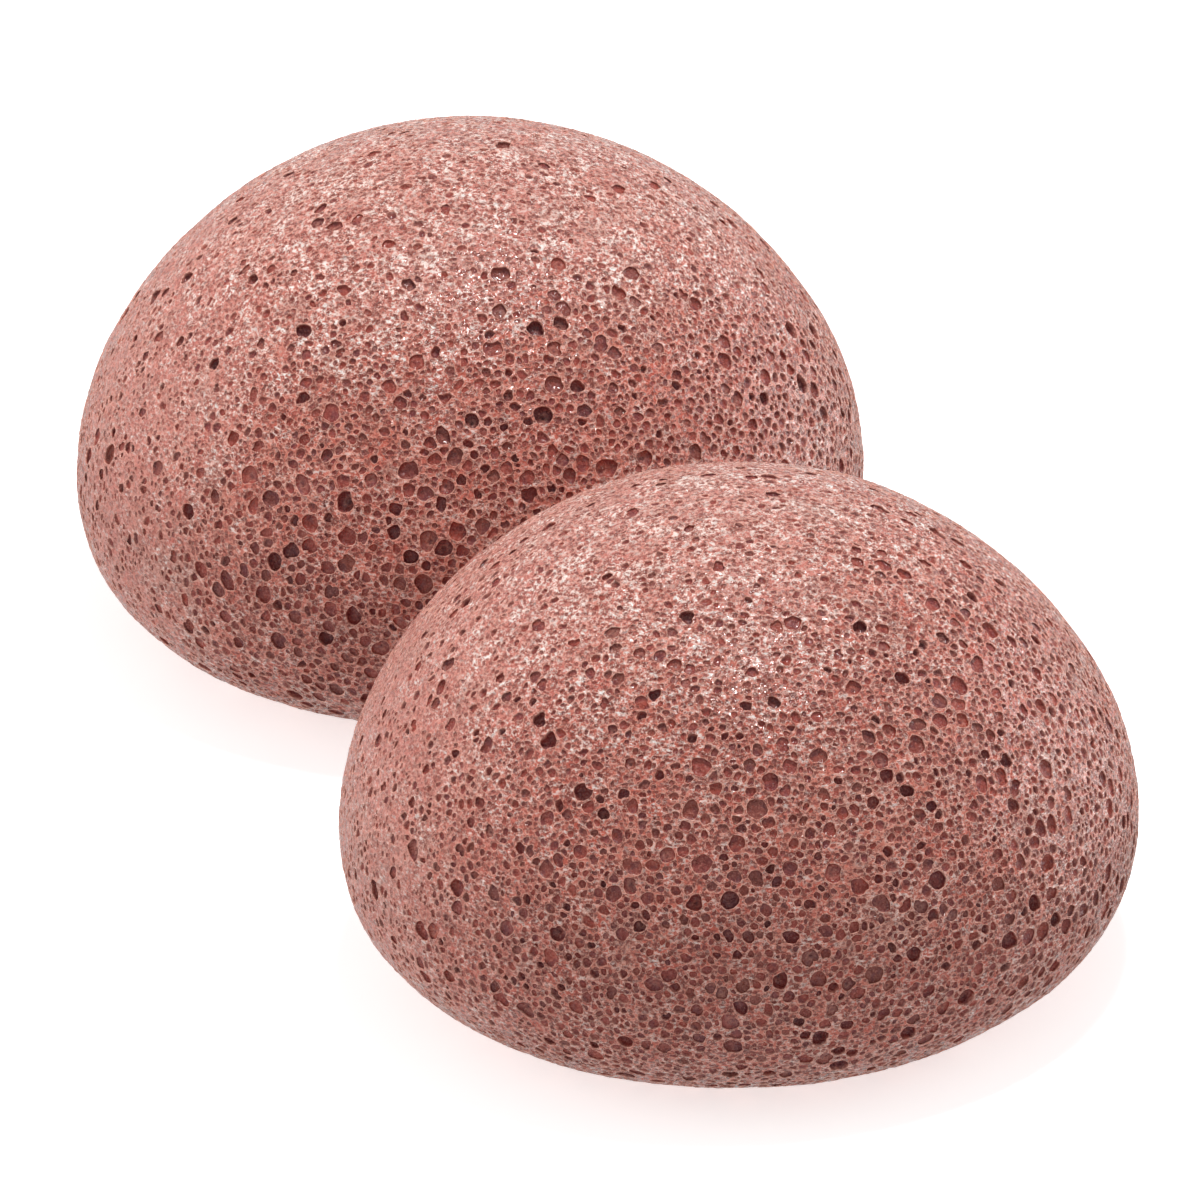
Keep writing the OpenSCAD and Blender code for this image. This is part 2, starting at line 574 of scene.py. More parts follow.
    def fitted(
        self, pores: Seats, i: int, near: list[int], angle: Array, reach: Array
    ) -> tuple[Array, bool]:
        """Draws a mouth in from its neighbours and from the zone's edge.

        Args:
            pores: All pores.
            i: The pore's number.
            near: The numbers of its neighbours.
            angle: The directions of the mouth's corners.
            reach: How far each corner would reach on the sheet.

        Returns:
            How far each corner reaches, and whether the pore has room enough to stay.
        """
        x, y = pores.flat[i]
        stretch = pores.stretch[i]
        own = pores.radius[i] * stretch
        margin = self.rim - math.hypot(x, y) - self.EDGE_LAND * stretch
        blend = reach**-self.ROUNDING + self.held(margin, np.cos(angle - math.atan2(y, x)))
        roomy = True
        if near:
            gap = pores.flat[near] - pores.flat[i]
            line = np.hypot(*gap.T) + own - pores.radius[near] * pores.stretch[near]
            line = line / 2 - self.WALL / 2 * stretch
            roomy = line.min() > self.STAY_ROOM * own
            facing = np.cos(angle[:, None] - bearing(gap))
            blend += self.held(np.maximum(line, self.DRAWN_ROOM * own), facing).sum(axis=1)
        reach = blend ** (-1 / self.ROUNDING)
        return reach, roomy and reach.min() > self.STAY_REACH * own


@dataclass(frozen=True)
class Ring:
    """A ring of points below the mouths of many pores; the values may differ by pore."""

    # Its share of the mouth's size, in space and on the texture map
    size: Amount
    chart: float
    # Its depth in millimetres
    sink: Amount
    # How much the lining and the pale brim, partly a painted highlight, show there, and how dark the
    # lining is, darker deep down as painted shade
    open: Amount = 1.0
    rim: Amount = 0.0
    dark: Amount = 0.0
    # How far its middle is off, in shares of the mouth's size
    shift: Amount = 0.0


class ZoneMesh:
    """Triangulates one zone's skin between the mouths and sinks each pore below it."""

    # Most by which a mouth leans, how much of the pale brim, partly a painted highlight, it shows, and
    # how far the land rises and sinks
    MOUTH_LEAN, MOUTH_RIM, LAND_SWELL = 0.045, 0.1, 0.07
    # Width of the crest round a mouth and of the throat inside it, and the deepest floor
    CREST, THROAT, DEEPEST = 0.06, 0.12, 1.5
    # How far a floor may be off the middle, and the share of floors with a window
    FLOOR_SHIFT, WINDOW_SHARE = 0.22, 0.22
    # Least ring in millimetres of a point on the base, because the wrapping takes 0 for the dome
    LEAST_RING = 1e-3

    def __init__(self, pores: PoreField) -> None:
        """Takes the field whose mouths are drawn.

        Args:
            pores: The field.
        """
        self.pores = pores
        self.points: dict[str, list[Array]] = {name: [] for name in ("flat", "chart", *CARRIED)}
        self.faces: list[Array] = []
        self.count = 0

    def add(self, flat: Array, chart: Array, **carried: Amount) -> Array:
        """Adds points.

        Args:
            flat: Places on the sheet that the solid place follows from.
            chart: Places on the sheet that the texture map follows from.
            **carried: What the points carry, by name. What isn't named is 0.

        Returns:
            The numbers of the new points.
        """
        self.points["flat"].append(flat)
        self.points["chart"].append(chart)
        for name in CARRIED:
            self.points[name].append(np.broadcast_to(carried.get(name, 0.0), len(flat)))
        self.count += len(flat)
        return np.arange(self.count - len(flat), self.count)

    def build(self) -> tuple[dict[str, Array], Array]:
        """Makes the zone's flat mesh.

        Returns:
            The points' values by name, those on the zone's edge first, and the triangles.
        """
        pores = self.pores
        turn = np.arange(pores.EDGE_CORNERS) * FULL_TURN / pores.EDGE_CORNERS
        edge = polar(turn, pores.rim)
        self.add(edge, edge)
        lengths = np.array([len(outline) for outline in pores.outlines])
        starts = self.count + np.concatenate([[0], np.cumsum(lengths)])
        mouths = np.concatenate(pores.outlines)
        tones = pores.rng.random(len(lengths))
        way = np.repeat(pores.rng.uniform(0, FULL_TURN, len(lengths)), lengths)
        swing = np.repeat(pores.rng.uniform(0, self.MOUTH_LEAN, len(lengths)), lengths)
        spokes = mouths - np.repeat(pores.seats.flat, lengths, axis=0)
        relief = swing * np.cos(bearing(spokes) - way)
        self.add(mouths, mouths, tone=np.repeat(tones, lengths), sink=relief, rim=self.MOUTH_RIM)
        land = pores.land.flat
        self.add(land, land, sink=pores.rng.uniform(-self.LAND_SWELL, self.LAND_SWELL, len(land)))
        self.skin(starts, lengths)
        opened = pores.openness(pores.seats.solid)
        for number, kind in enumerate(KINDS):
            chosen = np.flatnonzero(pores.seats.kind == number)
            if len(chosen):
                outline = np.stack([pores.outlines[i] for i in chosen])
                middle = pores.seats.flat[chosen][:, None, :]
                above = starts[chosen][:, None] + np.arange(kind.value.corners)
                mean = np.linalg.norm(outline - middle, axis=2).mean(axis=1)
                rows = self.rings(kind, mean / pores.seats.stretch[chosen], opened[chosen])
                lean = relief[above - starts[0]]
                rows[0] = replace(rows[0], sink=np.reshape(rows[0].sink, (-1, 1)) + lean)
                self.stack(above, outline - middle, middle, tones[chosen], rows)
        return self.finished(), np.concatenate(self.faces)

    def finished(self) -> dict[str, Array]:
        """Works out what the points' places give, in metres, radians and shares.

        Returns:
            The points' values by name.
        """
        pores, zone = self.pores, self.pores.zone
        sheet = pores.sheet
        made = {name: np.concatenate(parts) for name, parts in self.points.items()}
        made["sink"] *= MM
        flat, far = made["flat"], np.hypot(*made["flat"].T)
        made["turn"] = bearing(flat)
        made["coarse"] = pores.openness(pores.solid(flat))
        made["calm"] = pores.calm(pores.solid(flat))
        chart_far = np.hypot(*made["chart"].T)
        if pores.on_dome:
            made["tilt"] = np.radians(sheet.read(sheet.tilt, far))
            made["base_ring"] = np.full(len(far), -1.0)
            share = sheet.read(np.sqrt(sheet.area / sheet.area[-1]), chart_far)
        else:
            made["tilt"] = np.full(len(far), -math.pi / 2)
            made["base_ring"] = np.maximum(far, self.LEAST_RING) * MM
            share = chart_far / pores.rim
        way = made["chart"] / np.maximum(chart_far, 1e-9)[:, None]
        made["chart"] = zone.chart_middle + way * share[:, None] * zone.chart_size
        return made

    def skin(self, starts: Array, lengths: Array) -> None:
        """Covers the land between the mouths with triangles.

        Args:
            starts: The number of each mouth's first point, and one past the last.
            lengths: How many points each mouth has.
        """
        flat = np.concatenate(self.points["flat"])
        around = np.arange(self.pores.EDGE_CORNERS)
        own = np.arange(starts[0], starts[-1])
        last = own + 1 == np.repeat(starts[1:], lengths)
        after = np.where(last, np.repeat(starts[:-1], lengths), own + 1)
        edges = np.column_stack([np.append(around, own), np.append(np.roll(around, -1), after)])
        places = [Vector(place) for place in flat.tolist()]
        made = delaunay_2d_cdt(places, edges.tolist(), [], 0, 1e-9, False)
        if len(made[0]) != len(places):
            raise RuntimeError(f"the skin has {len(made[0])} points, not {len(places)}")
        tris = np.array(made[2])
        mouth = np.full(len(flat), -1)
        mouth[own] = np.repeat(np.arange(len(lengths)), lengths)
        belongs = mouth[tris]
        same = (belongs[:, 0] >= 0) & (belongs == belongs[:, :1]).all(axis=1)
        # Triangles of one mouth's points are inside it or beside it, by its nearest side
        i, middle = belongs[same, 0], flat[tris[same]].mean(axis=1)
        start, many, seat = starts[i], lengths[i], self.pores.seats.flat[i]
        part = (bearing(middle - seat) - bearing(flat[start] - seat)) / FULL_TURN % 1
        k = (part * many).astype(int) % many
        inside = leftward(flat[start + k], flat[start + (k + 1) % many], middle) > 0
        tris = np.delete(tris, np.flatnonzero(same)[inside], axis=0)
        turned = leftward(*(flat[tris[:, corner]] for corner in range(3))) < 0
        tris[turned] = tris[turned][:, ::-1]
        self.faces.append(tris)

    def rings(self, kind: PoreKind, mean: Array, opened: Array) -> list[Ring]:
        """Says where each ring below a mouth lies and what it carries.

        Args:
            kind: The pores' kind.
            mean: Mean mouth radius of each pore in millimetres.
            opened: How open the foam is at each pore.

        Returns:
            The rings from the crest down, and last the middle as a ring of size 0.
        """
        rng = self.pores.rng
        many = len(mean)
        deep = rng.random(many) < kind.value.deep_share * (0.15 + 0.85 * opened)
        depth = np.minimum(mean * (0.25 + 0.3 * rng.random(many) + 0.5 * deep), self.DEEPEST)
        bare = np.ones(many)
        if kind in (PoreKind.SMALL, PoreKind.TINY):
            bare = np.clip(0.35 + 0.4 * rng.random(many) + 0.5 * opened, 0, 1)
            depth = depth * bare
        # Lining painted darker in deep pores, and further down in each, as painted shade; the rest is
        # a random darkness of each pore's own
        gloom = np.clip(0.35 * rng.random(many) + 0.6 * deep, 0, 1)
        shift = rng.uniform(-1, 1, (many, 2)) * self.FLOOR_SHIFT
        window = (rng.random(many) < self.WINDOW_SHARE).astype(float)
        throat = 1 - np.minimum(self.THROAT / mean, 0.36)
        crest = Ring(1 - np.minimum(self.CREST / mean, 0.22), 0.92, -0.02, 0.12, rim=1.0)
        match kind:
            case PoreKind.LARGE:
                # A window's floor is painted nearly black, as painted shade of the cell below
                pit = gloom + (1 - gloom) * window * 0.9
                return [
                    crest,
                    Ring(throat, 0.84, 0.08, 0.7, 0.4, gloom * 0.3),
                    Ring(0.97, 0.7, depth * 0.55, dark=gloom * 0.8),
                    Ring(0.7, 0.52, depth * 0.95, dark=gloom, shift=shift * 0.3),
                    Ring(0.36, 0.3, depth, rim=window * 0.25, dark=gloom, shift=shift),
                    Ring(0.0, 0.0, depth * (1 + 0.7 * window), dark=pit, shift=shift),
                ]
            case PoreKind.MEDIUM:
                return [
                    crest,
                    Ring(throat, 0.8, 0.08, 0.8, 0.3, gloom * 0.5),
                    Ring(0.7, 0.5, depth * 0.95, dark=gloom),
                    Ring(0.0, 0.0, depth * (1 + 0.1 * window), dark=gloom),
                ]
        floor = Ring(0.0, 0.0, depth, bare, dark=gloom)
        if kind is PoreKind.SMALL:
            return [crest, Ring(0.8, 0.7, depth * 0.5, bare, dark=gloom * 0.7), floor]
        return [Ring(0.62, 0.6, depth * 0.6, bare * 0.9, 0.1, gloom * 0.6), floor]

    def stack(
        self, above: Array, spokes: Array, middle: Array, tone: Array, rows: list[Ring]
    ) -> None:
        """Adds the rings of many like pores and joins each to the one above.

        Args:
            above: The numbers of the mouths' points, by pore and corner.
            spokes: The ways to them from the pores' middles.
            middle: The pores' middles.
            tone: Each pore's number from 0 to 1.
            rows: The rings, the last of which is a single point.
        """
        size = np.linalg.norm(spokes, axis=2).mean(axis=1)[:, None, None]
        for row in rows:
            last = row is rows[-1]
            way = spokes[:, :1] if last else spokes
            shape = way.shape[:2]
            shift = np.broadcast_to(row.shift, (len(above), 2))[:, None, :] * size
            place = middle + way * self.spread(row.size, shape)[:, :, None] + shift
            chart = middle + way * row.chart
            given = {name: getattr(row, name) for name in CARRIED[:-1]} | {"tone": tone}
            carried = {name: self.spread(value, shape).ravel() for name, value in given.items()}
            new = self.add(place.reshape(-1, 2), chart.reshape(-1, 2), **carried).reshape(shape)
            after, below = np.roll(above, -1, axis=1), np.roll(new, -1, axis=1)
            for corners in ((above, after, below), (above, below, new))[: 1 if last else 2]:
                self.faces.append(np.stack(np.broadcast_arrays(*corners), axis=2).reshape(-1, 3))
            above = new

    @staticmethod
    def spread(value: Amount, shape: tuple[int, ...]) -> Array:
        """Gives each point of a ring its number, by pore and place round it."""
        return np.broadcast_to(value[:, None] if np.ndim(value) == 1 else value, shape)


class Value:
    """A node's output that plain formulas can reckon with."""

    def __init__(self, sheet: "NodeSheet", socket: bpy.types.NodeSocket) -> None:
        """Keeps the output and the sheet that new nodes go into."""
        self.sheet = sheet
        self.socket = socket

    def __add__(self, other: "Term") -> "Value":
        """Adds."""
        return self.sheet.calc("ADD", self, other)

    def __sub__(self, other: "Term") -> "Value":
        """Subtracts."""
        return self.sheet.calc("SUBTRACT", self, other)

    def __mul__(self, other: "Term") -> "Value":
        """Multiplies."""
        return self.sheet.calc("MULTIPLY", self, other)

    def __truediv__(self, other: "Term") -> "Value":
        """Divides."""
        return self.sheet.calc("DIVIDE", self, other)

    def most(self, other: "Term") -> "Value":
        """The larger of two."""
        return self.sheet.calc("MAXIMUM", self, other)

    def span(self, low: "Term", high: "Term", start: float = 0.0, end: float = 1.0) -> "Value":
        """Maps low to high onto start to end, held at both ends."""
        inputs = {0: self, 1: low, 2: high, 3: start, 4: end}
        return self.sheet.value("ShaderNodeMapRange", inputs, clamp=True)


Term = Value | float


class NodeSheet:
    """Short ways to write a node tree."""

    def __init__(self, tree: bpy.types.NodeTree) -> None:
        """Keeps the tree that nodes go into."""
        self.tree = tree

    def node(self, kind: str, inputs: dict | None = None, **settings: object) -> bpy.types.Node:
        """Adds a node.

        Args:
            kind: Blender's name of the node type.
            inputs: Values, outputs or plain numbers by input name or number.
            **settings: The node's own settings.

        Returns:
            The node.
        """
        made = self.tree.nodes.new(kind)
        for name, value in settings.items():
            setattr(made, name, value)
        for name, value in (inputs or {}).items():
            value = value.socket if isinstance(value, Value) else value
            if isinstance(value, bpy.types.NodeSocket):
                self.tree.links.new(value, made.inputs[name])
            else:
                made.inputs[name].default_value = value
        return made

    def value(
        self, kind: str, inputs: dict | None = None, output: int | str = 0, **settings: object
    ) -> Value:
        """Adds a node and gives one of its outputs to reckon with."""
        return Value(self, self.node(kind, inputs, **settings).outputs[output])

    def calc(self, operation: str, *values: Term) -> Value:
        """Adds a Math node and gives its output."""
        return self.value("ShaderNodeMath", dict(enumerate(values)), operation=operation)

    def choose(self, mask: Value, yes: Term, no: Term) -> Value:
        """Gives yes where the mask is 1 and no where it is 0."""
        return self.calc("MULTIPLY_ADD", mask, self.calc("SUBTRACT", yes, no), no)

    def mix(self, share: Value, first: object, second: object) -> Value:
        """Mixes a share of the second colour into the first."""
        inputs = {0: share, 6: first, 7: second}
        return self.value("ShaderNodeMix", inputs, output=2, data_type="RGBA")

    def noise(self, place: Value, size: Term, detail: float, shift: Term, rough: float = 0.5) -> Value:
        """Adds a noise.

        Args:
            place: Where it is read.
            size: How far its patches are across.
            detail: How many finer noises it has.
            shift: The number that makes it its own.
            rough: The strength of the finer ones.

        Returns:
            Its value, about 0.5.
        """
        scale = self.calc("DIVIDE", 1.0, size) if isinstance(size, Value) else 1 / size
        inputs = {"Vector": place, "W": shift, "Scale": scale, "Detail": detail, "Roughness": rough}
        return self.value("ShaderNodeTexNoise", inputs, noise_dimensions="4D")


class Wrapping:
    """Geometry Nodes tree that wraps a flat sheet of pores round the cake's outline."""

    SIZES = ("Widest radius", "Bottom edge radius", "Shoulder radius", "Crown drop")
    OTHERS = {"Unevenness": "Float", "Unevenness size": "Float", "Seed": "Float"}
    OTHERS |= {"Place": "Vector", "Finish": "Material"}

    def __init__(self) -> None:
        """Builds the tree once for both sponges."""
        self.tree = bpy.data.node_groups.new("wrap_round_cake", "GeometryNodeTree")
        face = self.tree.interface
        face.new_socket(name="Geometry", in_out="INPUT", socket_type="NodeSocketGeometry")
        self.keys: dict[str, str] = {}
        for name, kind in (dict.fromkeys(self.SIZES, "Float") | self.OTHERS).items():
            socket = face.new_socket(name=name, in_out="INPUT", socket_type="NodeSocket" + kind)
            self.keys[name] = socket.identifier
        face.new_socket(name="Geometry", in_out="OUTPUT", socket_type="NodeSocketGeometry")
        self.build()

    def build(self) -> None:
        """Writes the rule: which arc a point is on, how deep it is sunk, and where that is."""
        sheet = NodeSheet(self.tree)
        calc, choose = sheet.calc, sheet.choose
        outputs = sheet.node("NodeGroupInput").outputs
        given = {name: Value(sheet, outputs[name]) for name in ("Geometry", *self.keys)}
        tilt, turn, sink, base_ring = (
            sheet.value("GeometryNodeInputNamedAttribute", {"Name": name}, data_type="FLOAT")
            for name in ("tilt", "turn", "sink", "base_ring")
        )
        widest, edge, shoulder, drop = (given[name] for name in self.SIZES)
        rise, base_r, out = widest - drop, widest - edge, widest - shoulder
        crown = (out * out + rise * rise - shoulder * shoulder) / ((rise - shoulder) * 2.0)
        crown_z = edge + rise - crown
        low = calc("LESS_THAN", tilt, 0.0)
        high = calc("GREATER_THAN", tilt, calc("ARCTAN2", edge - crown_z, out))
        reach = choose(low, edge, choose(high, crown, shoulder))
        centre_ring = choose(low, base_r, choose(high, 0.0, out))
        centre_z = choose(high, crown_z, edge)
        on_base = calc("GREATER_THAN", base_ring, 0.0)

        def wrapped(depth: Term) -> Value:
            """Finds where a point is on the cake.

            Args:
                depth: How deep it is sunk below the smooth outline.

            Returns:
                Its place before the cake is moved to its own.
            """
            far = reach - depth
            ring = choose(on_base, base_ring, far * calc("COSINE", tilt) + centre_ring)
            height = choose(on_base, depth, far * calc("SINE", tilt) + centre_z)
            inputs = {0: ring * calc("COSINE", turn), 1: ring * calc("SINE", turn), 2: height}
            return sheet.value("ShaderNodeCombineXYZ", inputs)

        swell = sheet.noise(wrapped(0.0), given["Unevenness size"], 3.0, given["Seed"], 0.55)
        depth = given["Unevenness"] * swell.span(0.3, 0.7) + sink
        inputs = {0: wrapped(depth), 1: given["Place"]}
        place = sheet.value("ShaderNodeVectorMath", inputs, operation="ADD")
        inputs = {"Geometry": given["Geometry"], "Position": place}
        moved = sheet.value("GeometryNodeSetPosition", inputs)
        real = sheet.value("GeometryNodeRealizeInstances", {"Geometry": moved})
        inputs = {"Geometry": real, "Material": given["Finish"]}
        dressed = sheet.value("GeometryNodeSetMaterial", inputs)
        sheet.node("NodeGroupOutput", {"Geometry": dressed})

    def apply(self, flat: bpy.types.Object, values: dict[str, object]) -> bpy.types.Mesh:
        """Wraps an object's mesh and hands back the plain result.

        Args:
            flat: The object with the flat mesh.
            values: The inputs' values by name.

        Returns:
            The wrapped mesh.
        """
        modifier = flat.modifiers.new("wrap", "NODES")
        modifier.node_group = self.tree
        for name, value in values.items():
            modifier[self.keys[name]] = value
        graph = bpy.context.evaluated_depsgraph_get()
        made = bpy.data.meshes.new_from_object(
            flat.evaluated_get(graph), preserve_all_data_layers=True, depsgraph=graph
        )
        flat.modifiers.remove(modifier)
        return made


@dataclass(frozen=True)
class DampFoam:
    """Finish of damp red clay konjac foam: mottled skin, pale crests that are partly a painted
    highlight, painted glints, painted shade in small hollows, and dark pores painted darker deep down
    as painted shade.

    Colours are display colours, 0 to 255. A noise is its size in millimetres, its detail
    and the shift that makes it its own.
    """

    pale: Triple = (208, 122, 104)
    rose: Triple = (188, 90, 74)
    ember: Triple = (196, 84, 64)
    grey: Triple = (176, 126, 112)
    veil: Triple = (220, 156, 146)
    crest: Triple = (234, 162, 142)
    # Pale brims round the mouths: partly the foam's pale walls, partly a painted highlight
    brim: Triple = (246, 184, 164)
    # Painted glints: pale specks and white sparks in place of highlights on the wet skin
    painted_glint: Triple = (255, 230, 220)
    painted_spark: Triple = (255, 250, 246)
    # Painted shade in the hollows of bubbles too small to model and in fine pits
    hollow: Triple = (122, 50, 42)
    red_brown: Triple = (174, 80, 66)
    grey_brown: Triple = (146, 78, 66)
    # Dark lining: painted shade deep in pores and at their windows, and a random tone of each pore's
    # own
    maroon: Triple = (104, 48, 60)
    broad_noise: Triple = (11.0, 2.0, 2.9)
    mottle_noise: Triple = (2.2, 3.0, 0.0)
    patch_noise: Triple = (4.5, 3.0, 3.7)
    ember_noise: Triple = (3.2, 3.0, 6.2)
    grain_noise: Triple = (0.22, 2.0, 1.3)
    ripple_noise: Triple = (0.7, 1.0, 5.1)
    fleck_noise: Triple = (0.42, 2.0, 7.7)
    glint_streak_noise: Triple = (2.8, 2.0, 4.6)
    murk_noise: Triple = (0.9, 1.0, 9.3)
    wet_noise: Triple = (0.5, 2.0, 8.4)
    # How much closer flecks lie along each direction, which draws them out level
    fleck_draw: Triple = (0.85, 0.85, 1.75)
    # How far bubbles are led astray, in metres, and by a noise of which size
    stray: float = 0.00035
    stray_size: float = 0.5
    # Mean distance of each layer of bubbles in millimetres, and its strength
    bubble_layers: tuple[tuple[float, float], ...] = ((0.75, 0.9), (0.45, 0.8))
    dry_roughness: float = 0.55
    wet_roughness: float = 0.1
    relief: float = 0.00015

    def build(self) -> bpy.types.Material:
        """Makes the material.

        Returns:
            The material, which reads Object coordinates and the points' attributes.
        """
        made = bpy.data.materials.new("damp_konjac_foam")
        made.use_nodes = True
        made.node_tree.nodes.clear()
        FoamTree(self, NodeSheet(made.node_tree)).write()
        return made


class FoamTree:
    """Writes the foam's nodes, one layer of its look over another."""

    def __init__(self, finish: DampFoam, sheet: NodeSheet) -> None:
        """Reads what the layers share.

        Args:
            finish: The finish's colours and noises.
            sheet: The tree to write in.
        """
        self.finish = finish
        self.sheet = sheet
        self.where = sheet.value("ShaderNodeTexCoord", output="Object")
        self.open, self.rim, self.dark, self.tone, self.coarse, self.calm = (
            sheet.value("ShaderNodeAttribute", output="Fac", attribute_name=name)
            for name in ("open", "rim", "dark", "tone", "coarse", "calm")
        )
        inputs = {0: self.where, 1: finish.fleck_draw}
        level = sheet.value("ShaderNodeVectorMath", inputs, operation="MULTIPLY")
        self.fleck = self.noise(finish.fleck_noise, level)
        self.grain = self.noise(finish.grain_noise)

    def noise(self, pattern: Triple, place: Value | None = None) -> Value:
        """A noise of the finish, at the point's own place unless another is given."""
        size, detail, shift = pattern
        return self.sheet.noise(place or self.where, size * MM, detail, shift)

    def paint(self, under: object, share: Value, colour: Triple) -> Value:
        """Lays a share of a display colour over what is under it."""
        return self.sheet.mix(share, under, linear(colour))

    def calmed(self, share: Value, left: float) -> Value:
        """Lessens a share to what is left of it where the skin is smoothest."""
        return share * self.calm.span(0.0, 1.0, 1.0, left)

    def write(self) -> None:
        """Writes the whole material."""
        finish, sheet = self.finish, self.sheet
        skin, strokes, height = self.bubbled(self.clay())
        colour = sheet.mix(self.open, self.glinting(skin, strokes), self.lining())
        # Pale brims round the mouths, partly the foam's pale walls and partly a painted highlight
        rim = self.rim * self.fleck.span(0.42, 0.58, 0.35, 1.0)
        colour = self.paint(colour, rim, finish.brim)
        rough = self.noise(finish.wet_noise).span(
            0.42, 0.52, finish.dry_roughness, finish.wet_roughness
        )
        inputs = {"Height": height, "Strength": 1.0, "Distance": finish.relief}
        bump = sheet.value("ShaderNodeBump", inputs)
        inputs = {"Base Color": colour, "Roughness": rough, "Normal": bump}
        shader = sheet.value("ShaderNodeBsdfPrincipled", inputs | {"Specular IOR Level": 0.5})
        sheet.node("ShaderNodeOutputMaterial", {"Surface": shader})

    def clay(self) -> Value:
        """Colours the skin itself: mottled, with warm and grey patches, paler where fine.

        Returns:
            The colour.
        """
        finish, coarse = self.finish, self.coarse
        broad = self.noise(finish.broad_noise)
        mottle = broad * 0.6 + (self.noise(finish.mottle_noise) - 0.3)
        patches = broad * -0.4 + (self.noise(finish.patch_noise) + 0.2)
        skin = self.paint(linear(finish.pale), mottle.span(0.38, 0.62), finish.rose)
        embers = self.noise(finish.ember_noise).span(0.46, 0.6) * coarse.span(0.2, 0.8, 0.3, 0.75)
        skin = self.paint(skin, embers, finish.ember)
        skin = self.paint(skin, patches.span(0.56, 0.66, 0.0, 0.6), finish.grey)
        skin = self.paint(skin, coarse.span(0.6, 0.0, 0.0, 0.35), finish.veil)
        return self.paint(skin, self.calm * 0.25, finish.veil)

    def bubbled(self, skin: Value) -> tuple[Value, Value, Value]:
        """Lays bubbles too small to model over the skin: painted shade in their hollows and pale brims
        round them.

        Args:
            skin: The skin's colour.

        Returns:
            The new colour, the bubbles' brims and the relief's height.
        """
        finish, sheet, coarse = self.finish, self.sheet, self.coarse
        inputs = {"Vector": self.where, "Scale": 1 / (finish.stray_size * MM), "Detail": 1.0}
        wander = sheet.value("ShaderNodeTexNoise", inputs, output="Color")
        inputs = {0: wander, 1: (finish.stray,) * 3, 2: self.where}
        astray = sheet.value("ShaderNodeVectorMath", inputs, operation="MULTIPLY_ADD")
        height = self.noise(finish.ripple_noise) * 2.0 + self.grain * 0.1
        strokes = 0.0
        for size, strength in finish.bubble_layers:
            cells = {"Vector": astray, "Scale": 1 / (size * MM), "Randomness": 1.0}
            near = sheet.node("ShaderNodeTexVoronoi", cells, feature="F1").outputs
            pick = sheet.node("ShaderNodeSeparateXYZ", {0: near["Color"]}).outputs
            radius = Value(sheet, pick[0]).span(0.0, 1.0, 0.3, 0.5)
            away = Value(sheet, near["Distance"]) / radius
            hollow, brim = away.span(1.0, 0.85), away.span(0.85, 1.0) * away.span(1.3, 1.1)
            share = self.calmed(coarse.span(0.0, 0.7, strength * 0.5, strength), 0.6)
            share *= Value(sheet, pick[1]).span(0.0, 0.6, 0.3, 1.0)
            # Painted shade in each bubble's hollow; its brim gets the pale crest colour
            skin = self.paint(skin, hollow * share, finish.hollow)
            skin = self.paint(skin, brim * self.calm.span(0.0, 1.0, 0.55, 0.3), finish.crest)
            height = hollow * -0.3 + (brim * 0.1 + height)
            strokes = brim.most(strokes)
        return skin, strokes, height

    def glinting(self, skin: Value, strokes: Value) -> Value:
        """Lays painted shade in fine pits, and painted glints as pale specks and white sparks, over
        the skin.

        Args:
            skin: The skin's colour.
            strokes: The small bubbles' brims.

        Returns:
            The new colour.
        """
        finish, fleck, coarse = self.finish, self.fleck, self.coarse
        # Painted shade in fine pits
        pits = self.grain.span(0.43, 0.36, 0.0, 0.6).most(fleck.span(0.44, 0.39, 0.0, 0.8))
        skin = self.paint(skin, self.calmed(pits, 0.35), finish.hollow)
        # Painted glints: pale specks in streaky clusters, most where the foam is fine and least on the
        # smooth left
        glint_streaks = self.noise(finish.glint_streak_noise).span(0.4, 0.58, 0.3, 1.0)
        painted_glints = self.grain.span(0.58, 0.64).most(fleck.span(0.57, 0.61))
        painted_glints = painted_glints.most(strokes * fleck.span(0.47, 0.52)) * glint_streaks
        painted_glints *= coarse.span(0.1, 0.8, 1.0, 0.42)
        skin = self.paint(skin, self.calmed(painted_glints, 0.35), finish.painted_glint)
        # Painted glints: sparse white sparks in the same clusters
        painted_sparks = fleck.span(0.62, 0.65) * glint_streaks * coarse.span(0.0, 0.15, 0.4, 1.0)
        painted_sparks *= coarse.span(0.4, 0.9, 1.0, 0.4)
        return self.paint(skin, self.calmed(painted_sparks, 0.3), finish.painted_spark)

    def lining(self) -> Value:
        """Colours the insides of the pores, each with a tone of its own, painted darker deep down and
        at windows as painted shade.

        Returns:
            The colour.
        """
        finish = self.finish
        lining = self.paint(linear(finish.red_brown), self.tone.span(0.35, 0.95), finish.grey_brown)
        shade = self.sheet.calc("FRACT", self.tone * 9.7)
        # Maroon where the lining is dark deep down, as painted shade, or by each pore's own random
        # tone
        lining = self.paint(lining, (self.dark * 0.7).most(shade * 0.4), finish.maroon)
        murk = self.noise(finish.murk_noise).span(0.5, 0.62, 0.0, 0.5)
        lining = self.paint(lining, murk, finish.maroon)
        return self.paint(lining, self.grain.span(0.5, 0.7, 0.0, 0.3), finish.crest)


